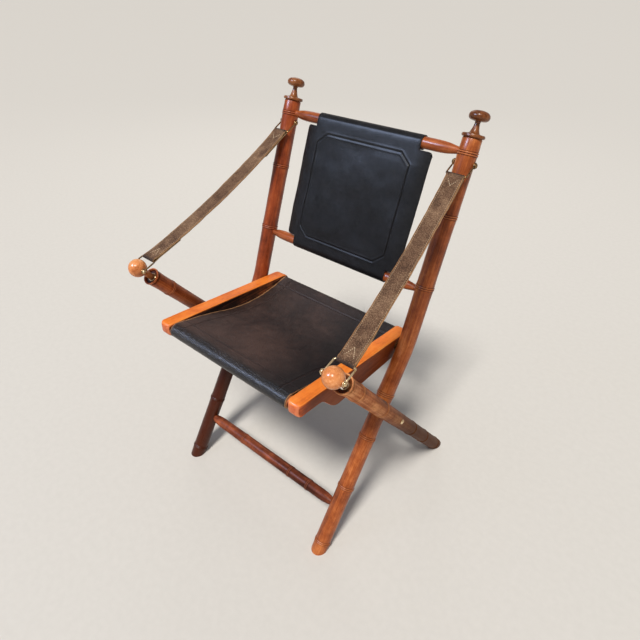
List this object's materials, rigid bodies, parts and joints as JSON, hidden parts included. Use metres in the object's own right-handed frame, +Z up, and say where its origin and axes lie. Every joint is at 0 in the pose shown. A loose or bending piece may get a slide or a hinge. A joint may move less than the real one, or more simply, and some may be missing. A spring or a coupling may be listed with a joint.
{
  "type": "folding_chair",
  "caption": "Folding armchair of turned wood with bead rings like bamboo, slung leather seat, leather back panel, leather arm straps on wire bails and a scissor fold",
  "frame": {"origin": "on the floor, at the middle of the bounding box seen from above", "axes": "+Z up, -Y to the front of the chair, +X to the right seen from the front"},
  "size_m": [0.574, 0.5458, 0.8925],
  "materials": {
    "post_wood": "reddish brown stain, glossy lacquer, darker in the ring grooves",
    "leg_wood": "reddish brown stain, glossy lacquer",
    "rail_wood": "orange brown stain, satin lacquer, edges slightly worn",
    "stretcher_wood": "dark reddish brown stain, glossy lacquer",
    "seat_hide": "thick dark brown saddle leather, tooled border, tan raw edges",
    "back_hide": "thick black saddle leather with a bluish sheen, tooled border, tan raw edges",
    "strap_hide": "grey brown leather strap, pale worn edges, stitched ends",
    "pale_brass": "pale polished brass"
  },
  "bodies": {
    "back_frame": {"left_back_post": "post_wood", "right_back_post": "post_wood", "left_finial": "post_wood", "right_finial": "post_wood", "left_post_pin": "pale_brass", "right_post_pin": "pale_brass", "left_pivot_bolt": "pale_brass", "right_pivot_bolt": "pale_brass", "left_pivot_spacer": "pale_brass", "right_pivot_spacer": "pale_brass", "left_seat_bolt": "pale_brass", "right_seat_bolt": "pale_brass", "left_seat_washer": "pale_brass", "right_seat_washer": "pale_brass", "left_arm_strap": "strap_hide", "right_arm_strap": "strap_hide", "top_back_bar": "post_wood", "bottom_back_bar": "post_wood", "front_stretcher": "stretcher_wood", "back_leather": "back_hide"},
    "arm_frame": {"left_arm_leg": "leg_wood", "right_arm_leg": "leg_wood", "left_arm_ball": "leg_wood", "right_arm_ball": "leg_wood", "left_ball_collar": "pale_brass", "right_ball_collar": "pale_brass", "left_arm_pin": "pale_brass", "right_arm_pin": "pale_brass", "rear_stretcher": "stretcher_wood", "seat_rest_bar": "stretcher_wood"},
    "seat_frame": {"left_seat_rail": "rail_wood", "right_seat_rail": "rail_wood", "seat_front_bar": "rail_wood", "seat_rear_bar": "rail_wood", "seat_leather": "seat_hide"},
    "left_post_bail": {"left_post_bail": "pale_brass"},
    "left_arm_bail": {"left_arm_bail": "pale_brass"},
    "right_post_bail": {"right_post_bail": "pale_brass"},
    "right_arm_bail": {"right_arm_bail": "pale_brass"}
  },
  "joints": [
    {"name": "main_fold", "type": "hinge", "parent": "back_frame", "child": "arm_frame", "pos_m": [0, -0.02018, 0.31197], "axis": [-1, 0, 0], "range_deg": [0, 55], "deforming": ["left_arm_strap", "right_arm_strap"]},
    {"name": "seat_lift", "type": "hinge", "parent": "back_frame", "child": "seat_frame", "pos_m": [0, 0.05555, 0.43501], "axis": [-1, 0, 0], "range_deg": [0, 82]},
    {"name": "left_post_bail_swing", "type": "hinge", "parent": "back_frame", "child": "left_post_bail", "pos_m": [-0.2194, 0.17354, 0.80175], "axis": [-1, 0, 0], "range_deg": [-5, 85]},
    {"name": "left_arm_bail_swing", "type": "hinge", "parent": "arm_frame", "child": "left_arm_bail", "pos_m": [-0.261, -0.25394, 0.58116], "axis": [-1, 0, 0], "range_deg": [-60, 38]},
    {"name": "right_post_bail_swing", "type": "hinge", "parent": "back_frame", "child": "right_post_bail", "pos_m": [0.2194, 0.17354, 0.80175], "axis": [-1, 0, 0], "range_deg": [-5, 85]},
    {"name": "right_arm_bail_swing", "type": "hinge", "parent": "arm_frame", "child": "right_arm_bail", "pos_m": [0.261, -0.25394, 0.58116], "axis": [-1, 0, 0], "range_deg": [-60, 38]}
  ],
  "couplings": [
    {"joint": "seat_lift", "follows": "main_fold", "ratio": 1.476}
  ]
}
